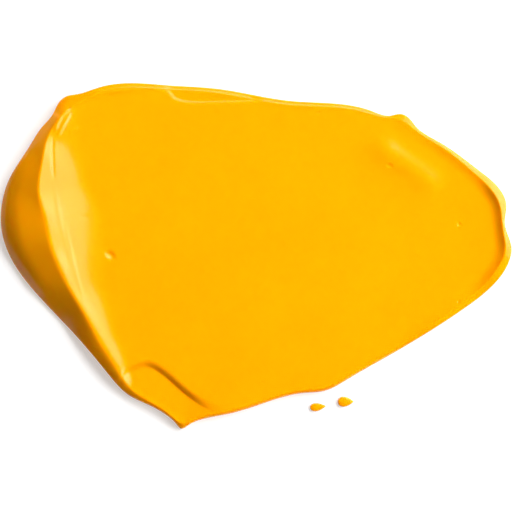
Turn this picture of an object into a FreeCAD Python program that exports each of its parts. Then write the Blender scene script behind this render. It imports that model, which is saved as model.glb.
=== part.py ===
"""A smear of thick paint on a flat face, with two loose droplets beside it.

Frame, in millimetres: X runs along the smear, Y across it and Z up. The origin is under the middle
of the smear, on the flat face that the paint rests on.
"""
import FreeCAD, Part
import os

from FreeCAD import Placement, Rotation, Vector
from Sketcher import Constraint

# Driving dimensions: alias, value, what it is.
DIMENSIONS = [
    ("smear_length", 70.0, "smear, end to end"),
    ("film_thickness", 1.9, "flat middle of the smear"),
    ("edge_inset", 0.6, "how far the sheet's upper edge stands in from its foot"),
    ("lap_depth", 0.55, "step down from the sheet to the lobe"),
    ("bank_height", 4.6, "crest of the bank above the face"),
    ("lip_height", 2.3, "crest of the lip above the face"),
    ("rim_height", 2.15, "crest of the far rim above the face"),
    ("ridge_setback", 0.25, "how far a ridge's outer side stands in from its stations"),
    ("ridge_base", 0.4, "height of a ridge's level underside, inside the sheet"),
    ("ridge_wall", 1.25, "height at which a ridge's outer side starts"),
    ("ridge_foot", 1.4, "height at which a ridge's inner side ends"),
    ("droplet_left_length", 2.2, "left droplet, head to tip"),
    ("droplet_left_width", 1.15, "left droplet, across its head"),
    ("droplet_right_length", 2.2, "right droplet, head to tip"),
    ("droplet_right_width", 1.45, "right droplet, across its head"),
    ("droplet_tip_radius", 0.12, "rounding of both droplets' tips"),
]
DRAWN_LENGTH = 70.0    # the smear's length at which the points below are written

# The smear's outline, anticlockwise from its left end.
OUTLINE = [
    # The bank's bulge, then its long straight flank down to the lobe.
    (-35.0, 5.4), (-34.0, 0.5), (-30.6, -4.6), (-25.0, -10.6), (-20.0, -16.5),
    # The lobe, the pointed tip and the far side of the tip.
    (-17.6, -19.0), (-14.6, -20.5), (-11.8, -22.2), (-10.9, -23.1), (-10.3, -23.7), (-9.2, -23.2),
    (-7.7, -22.5),
    # The near edge, with a shallow wave in it.
    (-3.5, -21.6), (3.2, -19.5), (6.5, -18.8), (9.4, -18.5), (12.6, -16.9), (18.0, -13.8), (28.4, -7.3),
    # The lip's two bulges, with a notch between them, and the slope up to the knob.
    (32.5, -4.0), (34.5, -1.2), (35.0, 1.2), (34.1, 4.5), (34.3, 7.0), (33.2, 9.4), (30.5, 11.8),
    (25.0, 15.7),
    # The knob, then the rim along the far edge.
    (21.9, 17.8), (20.9, 19.0), (19.8, 19.5), (18.4, 19.25), (16.0, 19.85), (12.0, 20.8), (4.5, 21.3),
    (-5.0, 22.9), (-12.0, 23.4), (-17.5, 23.7), (-21.5, 23.1),
    # The nub at the bank's head, and its side.
    (-24.5, 22.2), (-26.0, 21.9), (-27.1, 20.9), (-27.9, 19.3), (-29.2, 17.8), (-31.0, 15.1), (-33.9, 10.4),
]
# The sheet's rounded edge, from the face up: name, share of the inset, share of the thickness.
EDGE_LEVELS = [("foot", 0.0, 0.0), ("bulge", 0.1, 0.4), ("shoulder", 0.45, 0.82), ("top", 1.0, 1.0)]

# The fold where the sheet laps over the lobe, and the way back round the lobe, outside the outline.
FOLD = [
    (-19.2, -16.5), (-16.5, -15.2), (-14.5, -14.8), (-12.5, -15.9), (-9.5, -18.5), (-6.5, -20.6),
    (-3.4, -21.8),
]
FOLD_BACK = [(-3.4, -26.0), (-14.0, -26.0), (-22.0, -19.0)]

# Ridges on the sheet: name, alias of its height, and its cross-sections. Each of these has its outer
# foot, its inner foot, where the crest stands between them as a share of the width, and the crest's
# height as a share of the ridge's. The first and last lie inside the sheet, so that the ends taper.
RIDGES = [
    ("bank", "bank_height", [
        ((-24.6, 21.9), (-23.6, 18.6), 0.45, 0.36),
        ((-27.0, 19.9), (-24.0, 17.0), 0.40, 0.58),
        ((-28.9, 17.7), (-24.2, 14.6), 0.38, 0.74),
        ((-31.4, 14.2), (-23.8, 11.3), 0.36, 0.87),
        ((-34.0, 9.4), (-23.2, 7.8), 0.40, 0.97),
        ((-34.6, 4.4), (-22.6, 4.2), 0.48, 1.00),
        ((-33.1, -0.8), (-22.4, 2.2), 0.52, 0.98),
        ((-29.4, -5.3), (-21.8, -1.8), 0.54, 0.90),
        ((-25.0, -10.4), (-20.6, -7.2), 0.54, 0.78),
        ((-21.7, -14.4), (-18.8, -12.0), 0.56, 0.66),
        ((-18.9, -17.5), (-16.6, -15.8), 0.58, 0.50),
        ((-15.8, -19.6), (-14.4, -17.6), 0.58, 0.26),
    ]),
    ("lip", "lip_height", [
        ((20.4, 18.6), (18.4, 16.4), 0.40, 0.66),
        ((22.0, 17.3), (19.6, 14.6), 0.32, 0.80),
        ((26.3, 14.4), (23.4, 11.2), 0.24, 0.90),
        ((30.9, 11.2), (27.2, 7.8), 0.22, 0.96),
        ((33.6, 8.0), (28.8, 5.8), 0.24, 1.00),
        ((33.9, 4.4), (28.6, 3.8), 0.22, 0.96),
        ((34.6, 1.1), (29.0, 1.8), 0.22, 1.00),
        ((33.8, -2.0), (28.8, 0.4), 0.24, 0.98),
        ((31.3, -4.7), (27.6, -1.9), 0.26, 0.90),
        ((27.6, -7.5), (25.4, -4.6), 0.34, 0.80),
        ((23.8, -9.8), (22.4, -7.6), 0.40, 0.66),
    ]),
    ("rim", "rim_height", [
        ((-23.0, 22.4), (-22.6, 20.8), 0.45, 0.80),
        ((-17.4, 23.2), (-17.3, 21.2), 0.38, 0.95),
        ((-11.0, 23.0), (-11.2, 20.8), 0.36, 0.98),
        ((-4.0, 22.4), (-4.4, 19.8), 0.42, 1.00),
        ((4.8, 20.9), (4.4, 19.0), 0.38, 0.97),
        ((12.0, 20.5), (11.6, 18.6), 0.36, 0.96),
        ((18.2, 18.8), (17.6, 17.2), 0.45, 0.80),
    ]),
]
END_WALL_SHARE = 0.7    # a low section's outer wall, as a share of its crest's height
END_FOOT_SHARE = 0.8    # the same for its inner foot

# Droplets: label, the head's outer end on the face, and the direction from head to tip in degrees.
DROPLETS = [
    ("droplet_left", (7.4, -20.8), 5.0),
    ("droplet_right", (11.2, -20.0), 2.0),
]

# Point codes of the Sketcher: a curve's start, end and centre; and the sketch's own origin and axes.
START, END, CENTRE = 1, 2, 3
ORIGIN, VERTICAL_AXIS = (-1, 1), -2
HORIZONTAL_AXIS = -1


def make_sheet(doc):
    sheet = doc.addObject("Spreadsheet::Sheet", "sizes")
    for row, (alias, value, meaning) in enumerate(DIMENSIONS, start=1):
        sheet.set(f"A{row}", meaning)
        sheet.set(f"B{row}", str(value))
        sheet.setAlias(f"B{row}", alias)
    doc.recompute()
    return sheet


def plan(points, sheet):
    """Points of the plan view at the sheet's length, as vectors."""
    scale = sheet.smear_length / DRAWN_LENGTH
    return [Vector(x * scale, y * scale, 0) for x, y in points]


def sketch_on_face(body, name, offset=Placement()):
    """A sketch on the body's own XY plane, which is the face that the paint rests on, or off it."""
    plane = next(f for f in body.Origin.OriginFeatures if f.Role == "XY_Plane")
    sketch = body.newObject("Sketcher::SketchObject", name)
    sketch.AttachmentSupport = (plane, [""])
    sketch.MapMode = "FlatFace"
    sketch.AttachmentOffset = offset
    return sketch


def constrain(sketch, rules):
    for rule in rules:
        sketch.addConstraint(Constraint(*rule))


def dimension(sketch, name, rule, expression):
    """A named dimension of the sketch, bound to the sheet."""
    index = sketch.addConstraint(Constraint(*rule))
    sketch.renameConstraint(index, name)
    sketch.setExpression(f"Constraints.{name}", expression)


def spline(points, closed=False):
    curve = Part.BSplineCurve()
    curve.interpolate(Points=points, PeriodicFlag=closed)
    return curve


def inset(points, distance):
    """A closed outline's points, each moved inwards, square to the line between its neighbours."""
    moved = []
    for before, point, after in zip([points[-1], *points], points, [*points[1:], points[0]]):
        along = (after - before).normalize()
        moved.append(point + Vector(-along.y, along.x, 0) * distance)
    return moved


def sheet_of_paint(body, sheet):
    """The flat sheet: lofted from the outline on the face up to its inset upper edge."""
    outline = plan(OUTLINE, sheet)
    levels = []
    for name, inset_share, height_share in EDGE_LEVELS:
        level = sketch_on_face(body, f"outline_{name}")
        level.addGeometry(spline(inset(outline, sheet.edge_inset * inset_share), closed=True))
        level.setExpression("AttachmentOffset.Base.z", f"sizes.film_thickness * {height_share}")
        levels.append(level)
    body.Document.recompute()
    film = body.newObject("PartDesign::AdditiveLoft", "film")
    film.Profile = levels[0]
    film.Sections = levels[1:]
    body.Document.recompute()


def lap_over_lobe(body, sheet):
    """The step down from the sheet to the lobe at the near left, along the fold."""
    sketch = sketch_on_face(body, "fold")
    sketch.setExpression("AttachmentOffset.Base.z", "sizes.film_thickness - sizes.lap_depth")
    fold, back = plan(FOLD, sheet), plan(FOLD_BACK, sheet)
    sketch.addGeometry(spline(fold))
    corners = [fold[-1], *back, fold[0]]
    for start, end in zip(corners, corners[1:]):
        sketch.addGeometry(Part.LineSegment(start, end))
    step = body.newObject("PartDesign::Pocket", "lap_step")
    step.Profile = sketch
    step.Reversed = True    # cuts upwards, from the lobe's surface through the sheet above it
    step.setExpression("Length", "sizes.lap_depth * 2")
    body.Document.recompute()


def level_arc(side, crest):
    """An arc from a point on a ridge's side to its crest, where it is level."""
    rise, run = crest.y - side.y, abs(crest.x - side.x)
    radius = (run ** 2 + rise ** 2) / (2 * rise)
    centre = crest - Vector(0, radius, 0)
    halfway = centre + (side + crest - centre * 2).normalize() * radius
    return Part.Arc(side, halfway, crest)


def cross_section(body, sheet, name, height_alias, station):
    """One cross-section of a ridge, upright over the line from its outer to its inner foot.

    Two arcs meet level at the crest, over two short walls and a level base.
    """
    outer, inner = plan(station[:2], sheet)
    crest_at, height_share = station[2:]
    towards_sheet = (inner - outer).normalize()
    outer += towards_sheet * sheet.ridge_setback
    width = (inner - outer).Length
    height = getattr(sheet, height_alias) * height_share
    wall = min(sheet.ridge_wall, height * END_WALL_SHARE)
    foot = min(sheet.ridge_foot, height * END_FOOT_SHARE)

    upright = Rotation(towards_sheet, Vector(0, 0, 1), Vector(), "XYZ")
    sketch = sketch_on_face(body, name, Placement(outer, upright))
    wall_top, wall_base = Vector(0, wall, 0), Vector(0, sheet.ridge_base, 0)
    inner_base, inner_top = Vector(width, sheet.ridge_base, 0), Vector(width, foot, 0)
    crest = Vector(width * crest_at, height, 0)
    outer_wall, base, inner_wall, inner_arc, outer_arc = sketch.addGeometry([
        Part.LineSegment(wall_top, wall_base), Part.LineSegment(wall_base, inner_base),
        Part.LineSegment(inner_base, inner_top), level_arc(inner_top, crest), level_arc(wall_top, crest),
    ])
    constrain(sketch, [
        ("Coincident", outer_wall, END, base, START), ("Coincident", base, END, inner_wall, START),
        ("Coincident", inner_wall, END, inner_arc, START), ("Coincident", inner_arc, END, outer_arc, START),
        ("Coincident", outer_arc, END, outer_wall, START),
        ("Vertical", outer_wall), ("Horizontal", base), ("Vertical", inner_wall),
        ("PointOnObject", base, START, VERTICAL_AXIS),
        ("Vertical", inner_arc, CENTRE, inner_arc, END), ("Vertical", outer_arc, CENTRE, outer_arc, START),
        ("DistanceX", base, START, base, END, width), ("DistanceX", *ORIGIN, inner_arc, END, crest.x),
    ])
    crest_height = f"sizes.{height_alias} * {height_share}"
    dimension(sketch, "base_height", ("DistanceY", *ORIGIN, base, START, wall_base.y), "sizes.ridge_base")
    dimension(sketch, "crest_height", ("DistanceY", *ORIGIN, inner_arc, END, height), crest_height)
    dimension(sketch, "wall_height", ("DistanceY", *ORIGIN, outer_wall, START, wall),
              f"min(sizes.ridge_wall; {crest_height} * {END_WALL_SHARE})")
    dimension(sketch, "foot_height", ("DistanceY", *ORIGIN, inner_wall, END, foot),
              f"min(sizes.ridge_foot; {crest_height} * {END_FOOT_SHARE})")
    return sketch


def ridge(body, sheet, name, height_alias, stations):
    """A long mound on the sheet, lofted straight from each cross-section to the next."""
    sections = [cross_section(body, sheet, f"{name}_section_{i}", height_alias, station)
                for i, station in enumerate(stations, start=1)]
    body.Document.recompute()
    mound = body.newObject("PartDesign::AdditiveLoft", name)
    mound.Profile = sections[0]
    mound.Sections = sections[1:]
    mound.Ruled = True
    body.Document.recompute()


def make_smear(doc, sheet):
    body = doc.addObject("PartDesign::Body", "smear")
    sheet_of_paint(body, sheet)
    lap_over_lobe(body, sheet)
    for name, height_alias, stations in RIDGES:
        ridge(body, sheet, name, height_alias, stations)
    return body


def make_droplet(doc, sheet, label, head, heading):
    """A droplet: half of a solid teardrop, lying on its flat side."""
    body = doc.addObject("PartDesign::Body", label)
    length = getattr(sheet, f"{label}_length")
    head_radius = getattr(sheet, f"{label}_width") / 2
    tip_radius = sheet.droplet_tip_radius
    head_centre, tip_centre = Vector(head_radius, 0, 0), Vector(length - tip_radius, 0, 0)
    lean = (head_radius - tip_radius) / (tip_centre - head_centre).Length    # sine of the flank's angle
    to_flank = Vector(lean, (1 - lean ** 2) ** 0.5, 0)    # from either centre, square to the flank
    back, front = Vector(-1, 0, 0), Vector(1, 0, 0)
    tail_end, tip_end = head_centre + back * head_radius, tip_centre + front * tip_radius
    flank_start, flank_end = head_centre + to_flank * head_radius, tip_centre + to_flank * tip_radius

    sketch = sketch_on_face(body, f"{label}_profile")
    spine, head_arc, flank, tip_arc = sketch.addGeometry([
        Part.LineSegment(tail_end, tip_end),
        Part.Arc(tail_end, head_centre + (back + to_flank).normalize() * head_radius, flank_start),
        Part.LineSegment(flank_start, flank_end),
        Part.Arc(flank_end, tip_centre + (front + to_flank).normalize() * tip_radius, tip_end),
    ])
    constrain(sketch, [
        ("Coincident", spine, START, *ORIGIN), ("Horizontal", spine),
        ("Coincident", spine, START, head_arc, END), ("Coincident", spine, END, tip_arc, START),
        ("PointOnObject", head_arc, CENTRE, HORIZONTAL_AXIS),
        ("PointOnObject", tip_arc, CENTRE, HORIZONTAL_AXIS),
        ("Tangent", head_arc, START, flank, START), ("Tangent", flank, END, tip_arc, END),
    ])
    dimension(sketch, "length", ("DistanceX", spine, START, spine, END, length), f"sizes.{label}_length")
    dimension(sketch, "head_radius", ("Radius", head_arc, head_radius), f"sizes.{label}_width / 2")
    dimension(sketch, "tip_radius", ("Radius", tip_arc, tip_radius), "sizes.droplet_tip_radius")

    drop = body.newObject("PartDesign::Revolution", f"{label}_half_turn")
    drop.Profile = sketch
    drop.ReferenceAxis = (sketch, ["H_Axis"])
    drop.Angle = 180
    body.Placement = Placement(plan([head], sheet)[0], Rotation(Vector(0, 0, 1), heading))
    return body


def check(doc, bodies):
    """Stops before anything is written if an object failed or a body isn't one sound solid."""
    for item in doc.Objects:
        if {"Invalid", "Error"} & set(item.State):
            raise RuntimeError(f"{item.Label} did not recompute: {item.State}")
    for body in bodies:
        shape = body.Shape
        if shape.isNull() or not shape.isValid() or len(shape.Solids) != 1:
            raise RuntimeError(f"{body.Label} is not one valid solid")
        if shape.BoundBox.ZMin < -1e-6:
            raise RuntimeError(f"{body.Label} reaches below the face it rests on")


def main():
    doc = FreeCAD.newDocument("paint_smear")
    sheet = make_sheet(doc)
    bodies = [make_smear(doc, sheet)]
    bodies += [make_droplet(doc, sheet, *droplet) for droplet in DROPLETS]
    doc.recompute()
    check(doc, bodies)
    os.makedirs("parts", exist_ok=True)
    for body in bodies:
        body.Shape.exportStep(f"parts/{body.Label}.step")
        box = body.Shape.BoundBox
        print(f"{body.Label}: {box.XLength:.1f} x {box.YLength:.1f} x {box.ZLength:.1f} mm,"
              f" {body.Shape.Volume:.1f} mm3")


main()
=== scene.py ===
"""Looks of a smear of thick glossy paint and two loose droplets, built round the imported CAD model.

The smear's foot follows the CAD node's own outline. Its edge is described by heading: the direction
from the middle of the smear, in degrees anticlockwise from +X. What lies on the paint is placed by its
shares of the way across and up the smear's box. Other lengths are in millimetres, in the CAD model's
frame, and become metres as each mesh is made.
"""
import math

import bpy
import numpy as np
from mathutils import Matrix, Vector


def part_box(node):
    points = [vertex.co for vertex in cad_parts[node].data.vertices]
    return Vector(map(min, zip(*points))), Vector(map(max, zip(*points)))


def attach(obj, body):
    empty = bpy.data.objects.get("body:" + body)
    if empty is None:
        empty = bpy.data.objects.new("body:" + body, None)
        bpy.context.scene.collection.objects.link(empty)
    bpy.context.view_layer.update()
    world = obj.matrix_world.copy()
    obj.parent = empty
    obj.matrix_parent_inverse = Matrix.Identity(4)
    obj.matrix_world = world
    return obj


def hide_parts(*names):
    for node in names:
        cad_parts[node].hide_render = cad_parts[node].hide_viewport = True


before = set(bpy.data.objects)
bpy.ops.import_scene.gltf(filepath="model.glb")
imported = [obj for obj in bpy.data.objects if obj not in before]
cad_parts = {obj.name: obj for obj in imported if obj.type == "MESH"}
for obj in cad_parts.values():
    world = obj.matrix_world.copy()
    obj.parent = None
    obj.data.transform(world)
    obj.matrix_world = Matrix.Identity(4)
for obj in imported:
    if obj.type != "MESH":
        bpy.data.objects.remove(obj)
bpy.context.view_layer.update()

MM = 0.001

# Edge styles, from the foot of the paint's edge to its crest or shoulder, and from there inwards:
#   swell   how far the crest stands above the sheet, and
#   reach   how far inwards that swell runs out
#   curl    extra height just inside the crest
#   round   how widely the crest is rounded off
#   slope   mean slope of the face between the rounded outermost bead and the crest
#   bead    width of that bead
#   knee    share of the face's height that is gained early, and
#   turn    where on the face that ends, as a share of its width
#   fall    power with which the swell runs out: a lower one ends in a sharper crease
EDGE_STYLES = {
    #            swell reach  curl  round slope bead  knee   turn  fall
    "bank":      (1.70,   8.8, 0.00, 0.30, 0.51, 0.14,  0.38, 0.50, 1.6),
    "bank_low":  (1.50,   7.0, 0.00, 0.32, 0.65, 0.14,  0.30, 0.50, 1.6),
    "bank_tail": (0.89,   4.0, 0.00, 0.30, 0.87, 0.12,  0.08, 0.80, 1.6),
    "bank_end":  (0.42,   2.0, 0.00, 0.70, 0.60, 0.12,  0.05, 0.85, 2.0),
    "bank_foot": (0.12,   1.1, 0.00, 0.50, 0.65, 0.12,  0.10, 0.85, 2.0),
    "bank_top":  (1.55,   7.8, 0.00, 0.18, 0.60, 0.14,  0.24, 0.50, 1.6),
    "bank_neck": (0.98,   9.5, 0.00, 0.12, 0.93, 0.12,  0.05, 0.60, 2.0),
    "bank_head": (1.30,  10.5, 0.00, 0.12, 0.66, 0.14,  0.15, 0.50, 2.0),
    "nub_side":  (0.40,   5.5, 0.00, 0.10, 0.90, 0.10,  0.00, 0.70, 2.0),
    "nub":       (0.10,   2.5, 0.00, 0.12, 0.62, 0.14,  0.15, 0.50, 2.0),
    "rim":       (0.03,   2.0, 0.00, 0.06, 0.20, 0.12,  -0.5, 0.80, 2.0),
    "knob":      (0.20,   2.5, 0.05, 0.10, 0.16, 0.10,  0.00, 0.80, 2.0),
    "lip_start": (0.15,   4.0, 0.00, 0.10, 0.22, 0.10,  0.00, 0.80, 2.0),
    "lip_upper": (0.22,   6.5, 0.20, 0.08, 0.26, 0.10,  0.00, 0.80, 2.0),
    "lip":       (0.36,   8.0, 0.54, 0.08, 0.26, 0.10,  0.00, 0.80, 2.0),
    "lip_lower": (0.36,   8.0, 0.62, 0.12, 0.10, 0.12,  0.00, 0.80, 2.0),
    "lip_end":   (0.18,   5.0, 0.22, 0.15, 0.06, 0.12,  0.00, 0.80, 2.0),
    "edge":      (0.00,   2.0, 0.00, 0.05, 0.90, 0.15,  0.00, 1.00, 2.0),
    "lobe":      (0.04,   0.8, 0.00, 0.12, 0.70, 0.20,  0.15, 0.80, 2.0),
}
# The edge round the smear: heading, width of the face from foot to crest, and style.
EDGES = [
    # The lip and the slope up to the knob.
    (3, 0.75, "lip"), (7.5, 0.42, "lip"), (12, 0.90, "lip"), (16, 1.00, "lip"),
    (20, 0.80, "lip_upper"), (30, 0.50, "lip_upper"), (39, 0.55, "lip_start"), (43, 0.95, "knob"),
    # The rim.
    (46.5, 0.45, "rim"), (55, 0.60, "rim"), (90, 0.75, "rim"), (110, 0.65, "rim"), (126, 0.78, "rim"),
    (133, 0.75, "rim"),
    # The nub, then the bank from its head to its foot.
    (137, 1.20, "nub"), (140.5, 1.90, "nub"), (143.5, 1.35, "nub_side"), (147, 1.25, "nub_side"),
    (150, 1.60, "nub_side"), (153, 2.15, "bank_neck"), (158, 3.50, "bank_head"),
    (165, 5.30, "bank_top"), (171, 6.40, "bank"), (178, 6.40, "bank"), (183, 5.85, "bank_low"),
    (188, 5.10, "bank_low"), (194, 4.00, "bank_tail"), (199, 3.40, "bank_tail"),
    (210, 2.05, "bank_end"), (216, 1.75, "bank_end"), (221, 1.40, "bank_foot"),
    # The lobe, the near edge and the lower end of the lip.
    (227, 0.90, "lobe"), (234, 0.60, "lobe"), (243, 0.45, "lobe"),
    (252, 0.45, "edge"), (310, 0.42, "edge"), (328, 0.45, "edge"),
    (338, 0.62, "lip_end"), (350, 0.85, "lip_end"), (355, 1.00, "lip_lower"), (359, 0.90, "lip_lower"),
]
# Headings of the sheet grid's corners, anticlockwise: tip, lower end of the lip, knob and nub.
GRID_CORNERS = [246.5, 355, 43.2, 140.8]
GRID_ALONG, GRID_ACROSS = 310, 225    # cells of the grid along and across the smear
EDGE_RINGS = 18                       # rings of cells between the foot and the crest
CURL_REACH = 1.4                      # how far inwards the curl at a crest runs out, in mm
CORNER_SQUEEZE = 0.5                  # how much closer together the cells stand at the grid's corners
FACE_TOP = 0.85                       # most that the face may rise, as a share of the crest's height
OUTLINE_SAMPLES = 4000                # places at which the outline is measured
FOOT_LEVEL = 0.01                     # height below which a corner of the node counts as its foot, in mm
CREST_SPREAD = 1.0                    # how far the crest smooths over the foot's small bumps, in mm
STYLE_SPREAD = 0.9                    # how far one style of edge shades into the next, in mm
INNER_SPREAD, INNER_SPREAD_GAIN = 0.1, 0.35    # the same inside the crest: at it, and gain with distance
CHUNK = 4000                          # points measured at a time

# The sheet's thickness falls from the bank's end to the lip's.
SHEET_THIN, SHEET_GAIN, SHEET_FALL = 1.10, 2.1, 2.2

# Steps where one layer of paint lies over another, with the lower layer to the right of each line:
# the step's depth, how widely the upper layer rounds over it, how far from the line's first and last
# points the step reaches its full depth, and the line's points as shares of the box.
LAPS = {
    "lobe": (0.52, 1.00, 1.8, 7.0, [
        (0.236, 0.140), (0.248, 0.160), (0.266, 0.174), (0.291, 0.180), (0.320, 0.155), (0.362, 0.101),
        (0.403, 0.060), (0.450, 0.038),
    ]),
    "terrace": (0.14, 0.60, 4.0, 2.0, [
        (0.548, 0.953), (0.500, 0.952), (0.440, 0.949), (0.375, 0.948), (0.345, 0.957), (0.334, 0.974),
        (0.312, 0.992),
    ]),
}
LAP_START = 0.4          # share of its depth that a step already has at its first point
LAP_START_ROUND = 0.2    # share of its rounding that it has there
LAP_END_ROUND = 1.6      # how much more widely it is rounded at its last point

# Narrow raised (+) and sunk (-) lines that the knife left: height, half-width, and points in shares.
STREAKS = [
    (-0.060, 0.20, [(0.104, 0.842), (0.104, 0.805), (0.105, 0.760), (0.107, 0.722)]),
    (0.110, 0.28, [(0.121, 0.905), (0.113, 0.880), (0.108, 0.856)]),
    (0.085, 0.26, [(0.140, 0.915), (0.128, 0.886), (0.118, 0.858), (0.113, 0.842)]),
    (0.060, 0.22, [(0.136, 0.851), (0.143, 0.862), (0.154, 0.870)]),
    (0.090, 0.30, [(0.116, 0.895), (0.133, 0.925), (0.165, 0.952), (0.205, 0.970), (0.270, 0.980)]),
    (0.020, 0.30, [(0.108, 0.705), (0.121, 0.590), (0.148, 0.435)]),
    (0.024, 0.25, [(0.128, 0.598), (0.145, 0.480), (0.164, 0.370)]),
    (-0.030, 0.20, [(0.156, 0.613), (0.175, 0.615)]),
    (0.270, 1.70, [(0.720, 0.837), (0.790, 0.770), (0.865, 0.686)]),
    (0.100, 2.70, [(0.715, 0.820), (0.782, 0.747), (0.855, 0.665)]),
]
STREAK_FADE = 0.3        # share of a streak's length over which it fades in or out
STREAK_START = 0.15      # how far into that fade its ends are
STREAK_LIMIT = 4         # half-widths beyond which a streak is nothing

# Burst bubbles: centre in shares, half-length, half-width, heading of the long axis, and depth.
PITS = [
    ((0.216, 0.503), 0.95, 0.60, -20, 0.27),
    ((0.897, 0.592), 0.42, 0.36, 0, 0.12),
    ((0.761, 0.761), 0.62, 0.36, -12, 0.10),
    ((0.512, 0.137), 0.30, 0.25, 0, 0.06),
    ((0.896, 0.369), 0.32, 0.28, 0, 0.07),
    ((0.623, 0.914), 0.40, 0.20, -10, 0.06),
]
# How far a droplet's tip lies beside the middle of its box, as a share of the box's width.
DROPLET_LEANS = {"droplet_left": 0.14, "droplet_right": 0.0}
DROPLET_TIP = 0.15       # roundness of a droplet's tip, against that of an ellipse
DROPLET_BEAD = 0.2       # share of the way in that a droplet's steep rim takes up
DROPLET_RIM_RISE = 0.8   # share of a droplet's height that its rim rises
DROPLET_SIDES, DROPLET_RINGS = 72, 22

# The paint: a warm yellow that lets a little light in, with a faint drift of tone and gloss over it.
PAINT_TONES = [(0.3, (0.90, 0.330, 0.0, 1)), (0.7, (0.93, 0.347, 0.0, 1))]    # place in the noise, colour
PAINT_ROUGHNESS = 0.12, 0.16
PAINT_IOR = 1.34
PAINT_TRANSLUCENCY = 0.6
LIGHT_REACH = 1.0, 0.25, 0.05         # how far red, green and blue light go in, against red light
LIGHT_REACH_SCALE = 0.6               # how far red light goes in, in mm
TONE_SCALE, TONE_DETAIL = 90, 4

# The studio, in metres: a floor that glows a little, a dim warm room and two softboxes. Each softbox
# has its name, azimuth, angle from straight up, distance, width, height and radiance.
FLOOR_SIZE, FLOOR_DROP = 6, 0.02 * MM
FLOOR_GREY, FLOOR_ROUGHNESS, FLOOR_GLOW = 0.55, 0.9, 0.5
ROOM_COLOUR, ROOM_STRENGTH = (1.0, 0.6, 0.3, 1), 0.05
SOFTBOXES = [
    ("softbox", 30, 47, 0.5, 1.0, 0.46, 3.75),
    ("softbox_low", 30, 53, 0.49, 1.0, 0.36, 3.9),
]
LENS, SENSOR_WIDTH = 300, 36          # the camera's, in mm
PICTURE_MARGIN = 0.1                  # room beside each end of the smear in the picture, in mm
FARTHEST_SEEN = 20                    # where the camera's view ends, in metres


def on_box(shares):
    """Places on the smear, in millimetres, from shares of the way across and up its box."""
    low, high = (np.array(corner[:2]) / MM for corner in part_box("smear"))
    return low + np.asarray(shares, float) * (high - low)


def hermite(start, end, start_slope, end_slope, t):
    """Places at shares t along smooth pieces of curve, from their ends and the slopes there."""
    return (start * (1 + 2 * t) * (1 - t) ** 2 + end * t * t * (3 - 2 * t)
            + start_slope * t * (1 - t) ** 2 - end_slope * t * t * (1 - t))


def closed_spline(knots, columns, at):
    """Values of a smooth closed curve through the columns' rows, which lie at the rising knots."""
    knots, columns = np.asarray(knots, float), np.asarray(columns, float)
    steps, count = np.diff(knots), len(knots) - 1
    values = columns[:count]
    system, right = np.zeros((count, count)), np.zeros_like(values)
    for i in range(count):
        before, after = steps[i - 1], steps[i]
        following = values[(i + 1) % count]
        system[i, i - 1] += after
        system[i, i] += 2 * (before + after)
        system[i, (i + 1) % count] += before
        right[i] = 3 * (after * (values[i] - values[i - 1]) / before
                        + before * (following - values[i]) / after)
    slopes = np.linalg.solve(system, right)
    wrapped = np.mod(at, knots[-1])
    piece = np.clip(np.searchsorted(knots, wrapped, side="right") - 1, 0, count - 1)
    following = (piece + 1) % count
    step = steps[piece][:, None]
    t = ((wrapped - knots[piece]) / steps[piece])[:, None]
    return hermite(values[piece], values[following], slopes[piece] * step, slopes[following] * step, t)


def blurred(values, spread):
    """Evenly spaced values round a closed curve, smoothed along it."""
    reach = np.arange(-int(4 * spread), int(4 * spread) + 1)
    pull = np.exp(-0.5 * (reach / spread) ** 2)
    return sum(np.roll(values, shift, 0) * share for shift, share in zip(reach, pull / pull.sum()))


def path_lengths(points):
    """How far along a line each of its points lies."""
    return np.concatenate([[0], np.cumsum(np.linalg.norm(np.diff(points, axis=0), axis=1))])


def eased(count, squeeze):
    """Fractions from 0 to 1, closer together at both ends."""
    t = np.linspace(0, 1, count + 1)
    return t - squeeze * np.sin(2 * math.pi * t) / (2 * math.pi)


def headings(points):
    """Directions of points from the middle of the smear, in degrees from 0 to 360."""
    return np.degrees(np.arctan2(points[:, 1], points[:, 0])) % 360


def foot_outline():
    """The CAD node's outline on the face it rests on: evenly spaced points, and their spacing."""
    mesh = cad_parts["smear"].data
    corners = np.array([vertex.co for vertex in mesh.vertices]) / MM
    foot = np.unique(np.round(corners[corners[:, 2] < FOOT_LEVEL, :2], 3), axis=0)
    foot = foot[np.argsort(headings(foot))]
    closed = np.vstack([foot, foot[:1]])
    knots = path_lengths(closed)
    fine = closed_spline(knots, closed, np.linspace(0, knots[-1], 4 * OUTLINE_SAMPLES))
    lengths = path_lengths(fine)
    even = np.linspace(0, lengths[-1], OUTLINE_SAMPLES, endpoint=False)
    return np.column_stack([np.interp(even, lengths, column) for column in fine.T]), even[1]


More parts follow.
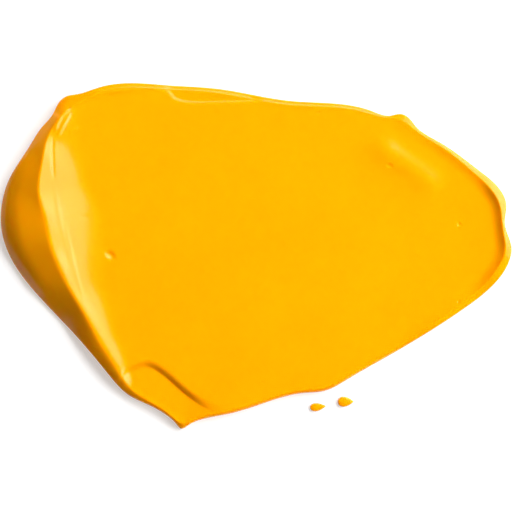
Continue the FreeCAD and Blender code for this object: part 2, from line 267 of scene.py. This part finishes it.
def edge_curves():
    """Foot points, crest points and edge style values at places round the smear that suit the grid."""
    foot, spacing = foot_outline()
    bearing = headings(foot)
    table = np.array([(width, *EDGE_STYLES[style]) for _, width, style in EDGES])
    edge_bearings = [edge[0] for edge in EDGES]
    values = np.column_stack([np.interp(bearing, edge_bearings, column, period=360) for column in table.T])
    values = blurred(values, STYLE_SPREAD / spacing)

    calm = blurred(foot, CREST_SPREAD / spacing)
    along = np.roll(calm, -1, 0) - np.roll(calm, 1, 0)
    inwards = np.column_stack([-along[:, 1], along[:, 0]]) / np.linalg.norm(along, axis=1)[:, None]
    crest = calm + inwards * values[:, :1]

    corners = [int(np.argmin(np.abs(bearing - corner))) for corner in GRID_CORNERS]
    places = []
    for start, end, cells in zip(corners, corners[1:] + corners[:1], [GRID_ALONG, GRID_ACROSS] * 2):
        span = (end - start) % OUTLINE_SAMPLES
        places.append(start + span * eased(cells, CORNER_SQUEEZE)[:-1])
    places = np.concatenate(places)
    numbers = np.arange(OUTLINE_SAMPLES)
    curves = np.hstack([foot, crest, values[:, 1:]])
    curves = np.column_stack([np.interp(places, numbers, column, period=OUTLINE_SAMPLES)
                              for column in curves.T])
    return curves[:, :2], curves[:, 2:4], curves[:, 4:]


def patch(sides):
    """A grid of points filling four sides, given anticlockwise from the bottom one's start."""
    bottom, right, top, left = sides
    top, left = top[::-1], left[::-1]
    u = np.linspace(0, 1, len(bottom))[:, None, None]
    v = np.linspace(0, 1, len(left))[None, :, None]
    straight = ((1 - v) * bottom[:, None] + v * top[:, None]
                + (1 - u) * left[None, :] + u * right[None, :])
    corners = ((1 - u) * (1 - v) * bottom[0] + u * (1 - v) * bottom[-1]
               + (1 - u) * v * top[0] + u * v * top[-1])
    return straight - corners


def squared_gaps(points, others):
    """Squared distance from each point to each of the others."""
    square = (points ** 2).sum(1)[:, None] + (others ** 2).sum(1)[None] - 2 * points @ others.T
    return np.maximum(square, 0)


def nearest_on(line, points):
    """Each point's distance from a finely drawn line, its side (+1 for left) and its place along it."""
    lengths = path_lengths(line)
    best = np.empty(len(points), int)
    for first in range(0, len(points), CHUNK):
        part = slice(first, first + CHUNK)
        best[part] = squared_gaps(points[part], line).argmin(1)
    distance = np.full(len(points), np.inf)
    side, travelled = np.ones(len(points)), np.zeros(len(points))
    for start in (np.clip(best - 1, 0, len(line) - 2), np.clip(best, 0, len(line) - 2)):
        along = line[start + 1] - line[start]
        offset = points - line[start]
        t = np.clip((offset * along).sum(1) / (along ** 2).sum(1), 0, 1)
        gap = np.linalg.norm(offset - t[:, None] * along, axis=1)
        nearer = gap < distance
        cross = along[:, 0] * offset[:, 1] - along[:, 1] * offset[:, 0]
        side[nearer] = np.where(cross >= 0, 1.0, -1.0)[nearer]
        travelled[nearer] = (lengths[start] + t * np.linalg.norm(along, axis=1))[nearer]
        distance[nearer] = gap[nearer]
    return distance, side, travelled


def style_inside(points, crests, values, distance):
    """Edge style values at points inside the crest, blended from the parts of the crest near each."""
    blended = np.empty((len(points), values.shape[1]))
    for first in range(0, len(points), CHUNK):
        part = slice(first, first + CHUNK)
        near = distance[part, None]
        gap = np.sqrt(squared_gaps(points[part], crests)) - near
        pull = np.exp(-np.maximum(gap, 0) / (INNER_SPREAD + INNER_SPREAD_GAIN * near))
        blended[part] = pull @ values / pull.sum(1)[:, None]
    return blended


def smooth_step(t):
    """A rise from 0 to 1 that is level at both ends."""
    t = np.clip(t, 0, 1)
    return t * t * (3 - 2 * t)


def open_curve(points, spacing=0.12):
    """A smooth open line through given points."""
    points = np.asarray(points, float)
    knots = path_lengths(points)
    before = np.vstack([2 * points[0] - points[1], points[:-1]])
    after = np.vstack([points[1:], 2 * points[-1] - points[-2]])
    slopes = (after - before) / 2
    pieces = []
    for i in range(len(points) - 1):
        count = max(2, int((knots[i + 1] - knots[i]) / spacing))
        t = np.linspace(0, 1, count, endpoint=False)[:, None]
        pieces.append(hermite(points[i], points[i + 1], slopes[i], slopes[i + 1], t))
    return np.vstack([*pieces, points[-1:]])


def sheet_height(points):
    """Thickness of the paint's sheet, without its edges."""
    low, high = (corner[0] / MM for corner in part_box("smear"))
    run = np.clip((high - points[:, 0]) / (high - low), 0, 1)
    return SHEET_THIN + SHEET_GAIN * run ** SHEET_FALL


def lap_drop(points):
    """How far the lower layers lie below the sheet."""
    drop = np.zeros(len(points))
    for depth, rounding, first_reach, last_reach, stations in LAPS.values():
        line = open_curve(on_box(stations))
        distance, side, _ = nearest_on(line, points)
        begun = smooth_step(np.linalg.norm(points - line[0], axis=1) / first_reach)
        ended = smooth_step(np.linalg.norm(points - line[-1], axis=1) / last_reach)
        grown = (LAP_START + (1 - LAP_START) * begun) * ended
        rounding *= LAP_START_ROUND + (1 - LAP_START_ROUND) * begun
        rounding *= LAP_END_ROUND - (LAP_END_ROUND - 1) * ended
        upper = np.clip(distance / rounding, 0, 1)
        drop += depth * grown * np.where(side < 0, 1.0, 1 - np.sin(math.pi / 2 * upper))
    return drop


def streak_height(points):
    """Height of the knife's fine lines, which fade out at both ends."""
    height = np.zeros(len(points))
    for peak, half_width, stations in STREAKS:
        line = open_curve(on_box(stations))
        low, high = line.min(0) - STREAK_LIMIT * half_width, line.max(0) + STREAK_LIMIT * half_width
        near = np.all((points > low) & (points < high), axis=1)
        distance, _, travelled = nearest_on(line, points[near])
        length = path_lengths(line)[-1]
        from_end = np.minimum(travelled, length - travelled)
        end_fade = smooth_step(from_end / (STREAK_FADE * length) + STREAK_START)
        height[near] += peak * end_fade * np.exp(-(distance / half_width) ** 2)
    return height


def pit_depth(points):
    """Depth of the burst bubbles: smooth oval dishes."""
    depth = np.zeros(len(points))
    for centre, half_length, half_width, heading, deepest in PITS:
        along = np.array([math.cos(math.radians(heading)), math.sin(math.radians(heading))])
        offset = points - on_box(centre)
        across = offset @ (-along[1], along[0])
        reach = (offset @ along / half_length) ** 2 + (across / half_width) ** 2
        depth += deepest * np.clip(1 - reach, 0, 1) ** 2
    return depth


def falling(t, power=2):
    """A fall from 1 to 0 that ends level."""
    return np.clip(1 - t, 0, None) ** power


def rounded(distance, radius):
    """Distance from a crest, eased so that a slope starts level there."""
    return np.sqrt(distance ** 2 + radius ** 2) - radius


def surface_height(points, crests, values):
    """Height of the smear's upper surface inside its crest line."""
    closed = np.vstack([crests, crests[:1]])
    distance, _, _ = nearest_on(closed, points)
    swell, reach, curl, ease, *_, fall = style_inside(points, crests, values, distance).T
    eased_distance = rounded(distance, ease)
    height = sheet_height(points) - lap_drop(points) + streak_height(points) - pit_depth(points)
    height += swell * falling(eased_distance / reach, fall)
    return height + curl * falling(eased_distance / CURL_REACH)


def edge_height(share, width, crest, values):
    """Height at shares of the way from the foot to the crest, for each sample round the smear."""
    ease, slope, bead_width, knee, turn = values[:, 3:8].T[:, None, :]
    span = rounded(width, ease)
    q = 1 - rounded((1 - share[:, None]) * width[None], ease) / span
    rise = np.minimum(slope * width, FACE_TOP * crest)
    bead = np.sqrt(np.clip(1 - np.clip(1 - q * width / np.minimum(bead_width, width), 0, 1) ** 2, 0, 1))
    face = (1 - knee) * q + knee * (1 - falling(q / turn))
    return (crest - rise) * bead + rise * face


def ring_faces(level):
    """Faces between closed rings of vertices, given from the foot up, anticlockwise from outside."""
    lower, upper = level[:-1], level[1:]
    return np.stack([lower, np.roll(lower, -1, 1), np.roll(upper, -1, 1), upper], 2).reshape(-1, 4)


def make_object(name, points, faces, material):
    """A smooth closed mesh whose last face is its flat underside."""
    mesh = bpy.data.meshes.new(name)
    mesh.from_pydata([tuple(p) for p in np.asarray(points) * MM], [], faces)
    mesh.shade_smooth()
    mesh.polygons[len(faces) - 1].use_smooth = False
    mesh.materials.append(material)
    mesh.validate()
    piece = bpy.data.objects.new(name, mesh)
    bpy.context.scene.collection.objects.link(piece)
    return piece


def make_smear(material):
    """The smear: rings of cells up its edge, a grid of cells inside its crest, and a flat underside."""
    feet, crests, values = edge_curves()
    around = len(feet)
    a, b = GRID_ALONG, GRID_ACROSS
    loop = np.vstack([crests, crests[:1]])
    turns = [0, a, a + b, 2 * a + b, 2 * (a + b)]
    grid = patch([loop[turns[i]:turns[i + 1] + 1] for i in range(4)])

    # Vertices: rings from the foot up to just below the crest, then the grid, whose rim is the crest.
    # The rings stand closest together at the foot, and draw together again under the crest.
    share = np.linspace(0, 1, EDGE_RINGS + 1)[:-1]
    share = 0.5 * share ** 1.5 + 0.25 * (1 - np.cos(math.pi * share))
    inner = grid.reshape(-1, 2)
    inner_height = surface_height(inner, crests, values)
    grid_index = np.arange(len(inner)).reshape(a + 1, b + 1) + around * EDGE_RINGS
    rim = np.concatenate([grid_index[:-1, 0], grid_index[-1, :-1],
                          grid_index[:0:-1, -1], grid_index[0, :0:-1]])
    crest_height = inner_height[rim - around * EDGE_RINGS]
    rings = feet[None] + (crests - feet)[None] * share[:, None, None]
    width = np.linalg.norm(crests - feet, axis=1)
    ring_height = edge_height(share, width, crest_height, values)
    flat = np.vstack([rings.reshape(-1, 2), inner])
    height = np.concatenate([ring_height.ravel(), inner_height])

    # Faces, anticlockwise seen from outside.
    level = np.vstack([np.arange(around * EDGE_RINGS).reshape(EDGE_RINGS, around), rim[None]])
    grid_faces = np.stack([grid_index[:-1, :-1], grid_index[1:, :-1],
                           grid_index[1:, 1:], grid_index[:-1, 1:]], 2).reshape(-1, 4)
    faces = np.vstack([ring_faces(level), grid_faces])

    points = np.column_stack([flat, height])
    return make_object("smear_paint", points, faces.tolist() + [level[0][::-1].tolist()], material)


def make_droplet(name, node, material):
    """A teardrop that fills the node's box: a steep rim round a low dome, on a flat underside."""
    low, high = (np.array(corner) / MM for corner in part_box(node))
    turn = np.linspace(0, 2 * math.pi, DROPLET_SIDES, endpoint=False)
    along = np.cos(turn) / 2
    across = np.sin(turn) * (DROPLET_TIP + (1 - DROPLET_TIP) * np.sin(turn / 2))
    across = across / (2 * across.max()) + DROPLET_LEANS[node] * (along + 0.5) ** 2
    rim = (low + high)[:2] / 2 + np.column_stack([along, across]) * (high - low)[:2]
    third = DROPLET_SIDES // 3
    centre = rim[[third, -third]].mean(0)    # under the widest part, away from the tip

    share = np.linspace(0, 1, DROPLET_RINGS + 1)[:-1] ** 1.5
    bead = np.sqrt(1 - np.clip(1 - share / DROPLET_BEAD, 0, 1) ** 2)
    rise = DROPLET_RIM_RISE * bead + (1 - DROPLET_RIM_RISE) * (1 - falling(share))
    rings = rim[None] + (centre - rim)[None] * share[:, None, None]
    points = np.column_stack([rings.reshape(-1, 2), np.repeat(rise * high[2], DROPLET_SIDES)])
    points = np.vstack([points, [*centre, high[2]]])

    # Faces: between the rings, then a fan from the last ring to the top.
    level = np.arange(DROPLET_SIDES * DROPLET_RINGS).reshape(DROPLET_RINGS, DROPLET_SIDES)
    last = level[-1].tolist()
    fan = [[start, end, len(points) - 1] for start, end in zip(last, last[1:] + last[:1])]
    faces = ring_faces(level).tolist() + fan
    return make_object(name, points, faces + [level[0][::-1].tolist()], material)


def paint_material(name):
    """The glossy paint that all three pieces are made of."""
    material = bpy.data.materials.new(name)
    material.use_nodes = True
    nodes, links = material.node_tree.nodes, material.node_tree.links
    shader = nodes["Principled BSDF"]
    shader.inputs["IOR"].default_value = PAINT_IOR
    shader.inputs["Subsurface Weight"].default_value = PAINT_TRANSLUCENCY
    shader.inputs["Subsurface Radius"].default_value = LIGHT_REACH
    shader.inputs["Subsurface Scale"].default_value = LIGHT_REACH_SCALE * MM

    place = nodes.new("ShaderNodeTexCoord")
    tone = nodes.new("ShaderNodeTexNoise")
    tone.inputs["Scale"].default_value = TONE_SCALE
    tone.inputs["Detail"].default_value = TONE_DETAIL
    links.new(place.outputs["Object"], tone.inputs["Vector"])
    colour = nodes.new("ShaderNodeValToRGB")
    for stop, (position, tint) in zip(colour.color_ramp.elements, PAINT_TONES):
        stop.position = position
        stop.color = tint
    links.new(tone.outputs["Fac"], colour.inputs["Fac"])
    links.new(colour.outputs["Color"], shader.inputs["Base Color"])

    gloss = nodes.new("ShaderNodeMapRange")
    gloss.inputs["To Min"].default_value, gloss.inputs["To Max"].default_value = PAINT_ROUGHNESS
    links.new(tone.outputs["Fac"], gloss.inputs["Value"])
    links.new(gloss.outputs["Result"], shader.inputs["Roughness"])
    return material


def make_floor():
    """A plain pale floor just under the paint."""
    bpy.ops.mesh.primitive_plane_add(size=FLOOR_SIZE)
    floor = bpy.context.object
    floor.name = "floor"
    floor.location.z = -FLOOR_DROP
    material = bpy.data.materials.new("pale_floor")
    material.use_nodes = True
    shader = material.node_tree.nodes["Principled BSDF"]
    shader.inputs["Base Color"].default_value = (FLOOR_GREY, FLOOR_GREY, FLOOR_GREY, 1)
    shader.inputs["Roughness"].default_value = FLOOR_ROUGHNESS
    shader.inputs["Emission Color"].default_value = (1, 1, 1, 1)
    shader.inputs["Emission Strength"].default_value = FLOOR_GLOW
    floor.data.materials.append(material)


def direction(azimuth, zenith):
    """Unit vector from two angles in degrees."""
    azimuth, zenith = math.radians(azimuth), math.radians(zenith)
    return Vector((math.sin(zenith) * math.cos(azimuth), math.sin(zenith) * math.sin(azimuth),
                   math.cos(zenith)))


def make_softbox(name, azimuth, zenith, distance, width, height, radiance):
    """A rectangular lamp that faces the object, its width level."""
    light = bpy.data.lights.new(name, "AREA")
    light.shape = "RECTANGLE"
    light.size, light.size_y = width, height
    light.energy = radiance * math.pi * width * height
    lamp = bpy.data.objects.new(name, light)
    lamp.location = direction(azimuth, zenith) * distance
    lamp.rotation_euler = lamp.location.to_track_quat("Z", "Y").to_euler()
    lamp.visible_camera = False
    bpy.context.scene.collection.objects.link(lamp)


def light_scene():
    """A dim warm room with the softboxes in it."""
    world = bpy.data.worlds.new("studio")
    world.use_nodes = True
    background = world.node_tree.nodes["Background"]
    background.inputs["Color"].default_value = ROOM_COLOUR
    background.inputs["Strength"].default_value = ROOM_STRENGTH
    bpy.context.scene.world = world
    for softbox in SOFTBOXES:
        make_softbox(*softbox)
    bpy.context.scene.view_settings.view_transform = "Standard"


def make_camera():
    """A long lens straight above the smear, which fills the picture's width."""
    camera_data = bpy.data.cameras.new("camera")
    camera_data.lens = LENS
    camera_data.sensor_width = SENSOR_WIDTH
    camera = bpy.data.objects.new("camera", camera_data)
    low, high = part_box("smear")
    picture_width = high.x - low.x + 2 * PICTURE_MARGIN * MM
    camera.location = ((low.x + high.x) / 2, 0, picture_width * LENS / SENSOR_WIDTH)
    camera_data.clip_end = FARTHEST_SEEN
    bpy.context.scene.collection.objects.link(camera)
    bpy.context.scene.camera = camera


make_camera()
light_scene()
make_floor()
paint = paint_material("glossy_paint")
pieces = {
    "smear": make_smear(paint),
    "droplet_left": make_droplet("droplet_left_paint", "droplet_left", paint),
    "droplet_right": make_droplet("droplet_right_paint", "droplet_right", paint),
}
for node, piece in pieces.items():
    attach(piece, "root")
    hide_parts(node)
